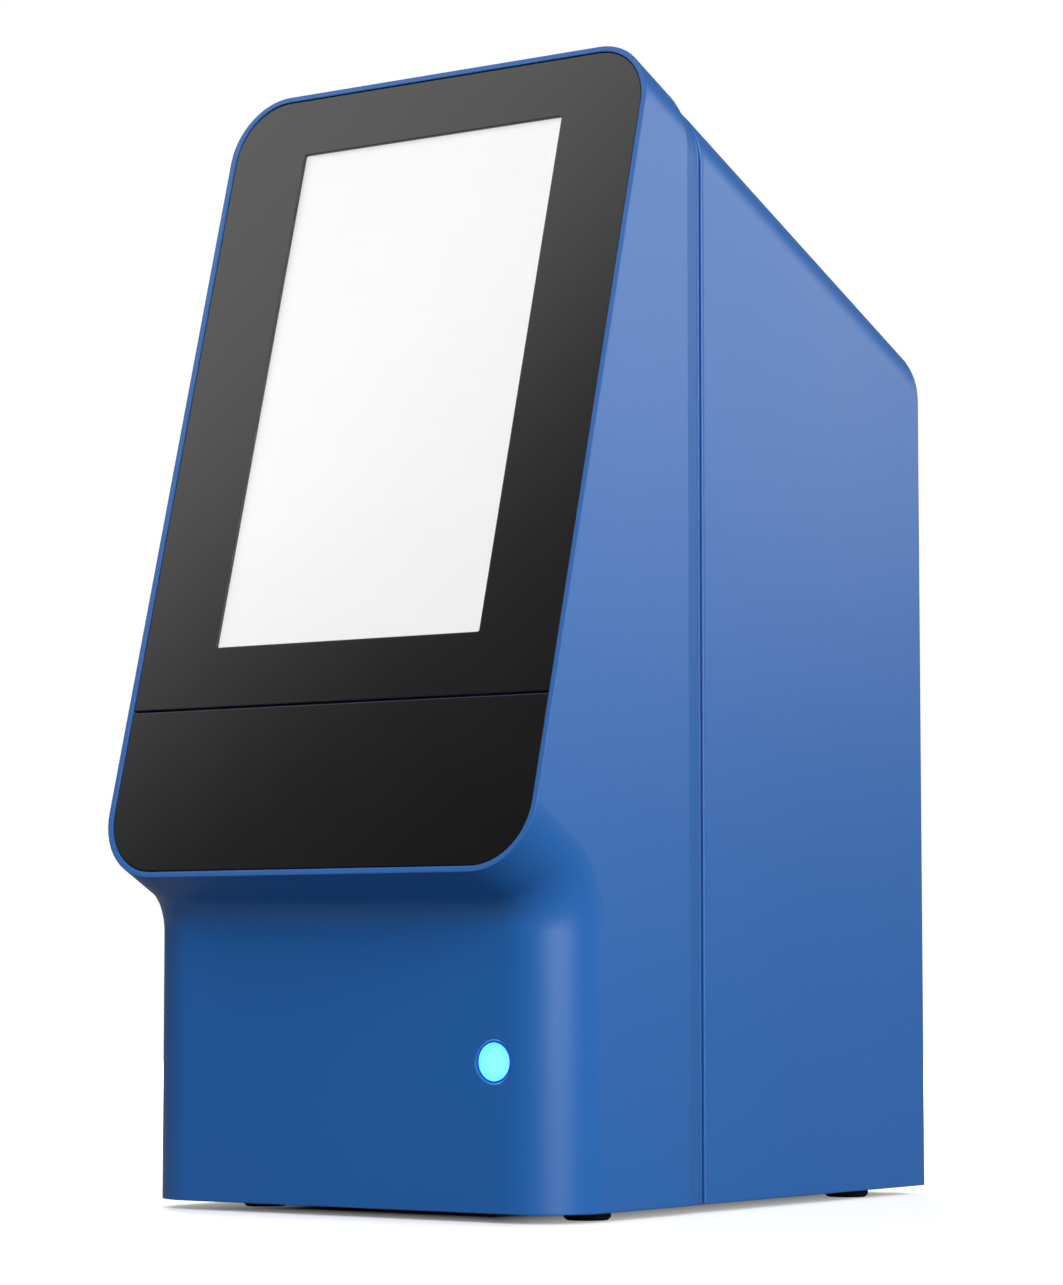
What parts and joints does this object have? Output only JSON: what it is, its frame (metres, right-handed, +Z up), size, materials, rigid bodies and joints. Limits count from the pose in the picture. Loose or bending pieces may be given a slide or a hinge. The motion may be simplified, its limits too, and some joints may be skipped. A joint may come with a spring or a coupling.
{
  "type": "point-of-care chemistry analyzer",
  "caption": "Benchtop blood chemistry analyzer: moulded blue housing, leaning portrait touch screen, disc drawer below it, round power button, printer in the sloping top.",
  "frame": {"origin": "on the table under the middle of the housing", "axes": "+Z up, -Y towards the user, +X to the user's right"},
  "size_m": [0.148, 0.208, 0.324],
  "materials": {
    "housing_blue": "satin moulded plastic",
    "panel_black": "satin black plastic",
    "screen_glass": "clear touch glass",
    "screen_lit": "lit white screen",
    "door_blue": "satin moulded plastic",
    "sheet_steel": "zinc plated sheet",
    "screw_steel": "plated",
    "foot_rubber": "matt rubber",
    "tray_plastic": "dark moulded plastic",
    "gear_plastic": "natural acetal",
    "motor_can": "drawn steel can",
    "circuit_board": "green laminate",
    "heater_alloy": "machined",
    "optics_black": "black anodised",
    "button_lens": "lit translucent plastic",
    "button_glow": "lit translucent plastic",
    "fan_plastic": "glass filled black plastic",
    "socket_plastic": "black plastic",
    "socket_metal": "tinned shield",
    "printer_plastic": "dark grey plastic",
    "pin_steel": "ground steel",
    "platen_rubber": "ground rubber"
  },
  "bodies": {
    "chassis": {"front_housing": "housing_blue", "rear_cover": "housing_blue", "display_bezel": "panel_black", "touch_panel": "screen_glass", "display_module": "screen_lit", "base_plate": "sheet_steel", "side_frame_left": "sheet_steel", "side_frame_right": "sheet_steel", "chassis_deck": "sheet_steel", "display_bracket": "sheet_steel", "optics_deck_plate": "sheet_steel", "floor_screws": "screw_steel", "fan_screws": "screw_steel", "board_standoffs": "screw_steel", "power_spacers": "screw_steel", "heater_posts": "screw_steel", "foot_front_left": "foot_rubber", "foot_front_right": "foot_rubber", "foot_rear_left": "foot_rubber", "foot_rear_right": "foot_rubber", "drawer_guide_left": "tray_plastic", "drawer_guide_right": "tray_plastic", "drawer_motor": "motor_can", "printer_motor": "motor_can", "display_board": "circuit_board", "main_board": "circuit_board", "power_board": "circuit_board", "button_board": "circuit_board", "heater_plate": "heater_alloy", "lamp_module": "optics_black", "detector_module": "optics_black", "button_guide": "button_glow", "fan_frame": "fan_plastic", "dc_inlet": "socket_plastic", "speaker": "socket_plastic", "ethernet_socket": "socket_metal", "usb_sockets": "socket_metal", "printer_frame": "printer_plastic", "print_head": "printer_plastic", "door_hinge_pin": "pin_steel", "tear_bar": "pin_steel"},
    "drawer": {"drawer_front": "panel_black", "disc_tray": "tray_plastic", "spindle_motor": "motor_can"},
    "disc_hub": {"spindle_hub": "gear_plastic"},
    "drawer_pinion": {"drawer_pinion": "gear_plastic"},
    "power_button": {"power_button": "button_lens"},
    "printer_door": {"printer_door": "door_blue"},
    "platen": {"platen_roller": "platen_rubber"},
    "fan_rotor": {"fan_rotor": "fan_plastic"}
  },
  "joints": [
    {"name": "drawer_slide", "type": "slide", "parent": "chassis", "child": "drawer", "axis": [0, -1, 0], "range_m": [0, 0.1]},
    {"name": "pinion_spin", "type": "hinge", "parent": "chassis", "child": "drawer_pinion", "pos_m": [0.0435, -0.052, 0.0935], "axis": [1, 0, 0], "range_deg": [-2, 720]},
    {"name": "disc_spin", "type": "hinge", "parent": "drawer", "child": "disc_hub", "pos_m": [0, -0.05, 0.112], "axis": [0, 0, 1], "continuous": true},
    {"name": "button_press", "type": "slide", "parent": "chassis", "child": "power_button", "axis": [0, 1, 0], "range_m": [0, 0.0015], "stiffness_N_per_m": 400, "springref_m": -0.001},
    {"name": "door_hinge", "type": "hinge", "parent": "chassis", "child": "printer_door", "pos_m": [0, 0.05311, 0.27601], "axis": [-1, 0, 0], "range_deg": [0, 70]},
    {"name": "platen_spin", "type": "hinge", "parent": "printer_door", "child": "platen", "pos_m": [0, 0.00201, 0.29393], "axis": [1, 0, 0], "continuous": true},
    {"name": "fan_spin", "type": "hinge", "parent": "chassis", "child": "fan_rotor", "pos_m": [0, 0.094, 0.184], "axis": [0, 1, 0], "continuous": true}
  ],
  "couplings": [
    {"joint": "pinion_spin", "follows": "drawer_slide", "rad_per_m": 125}
  ]
}
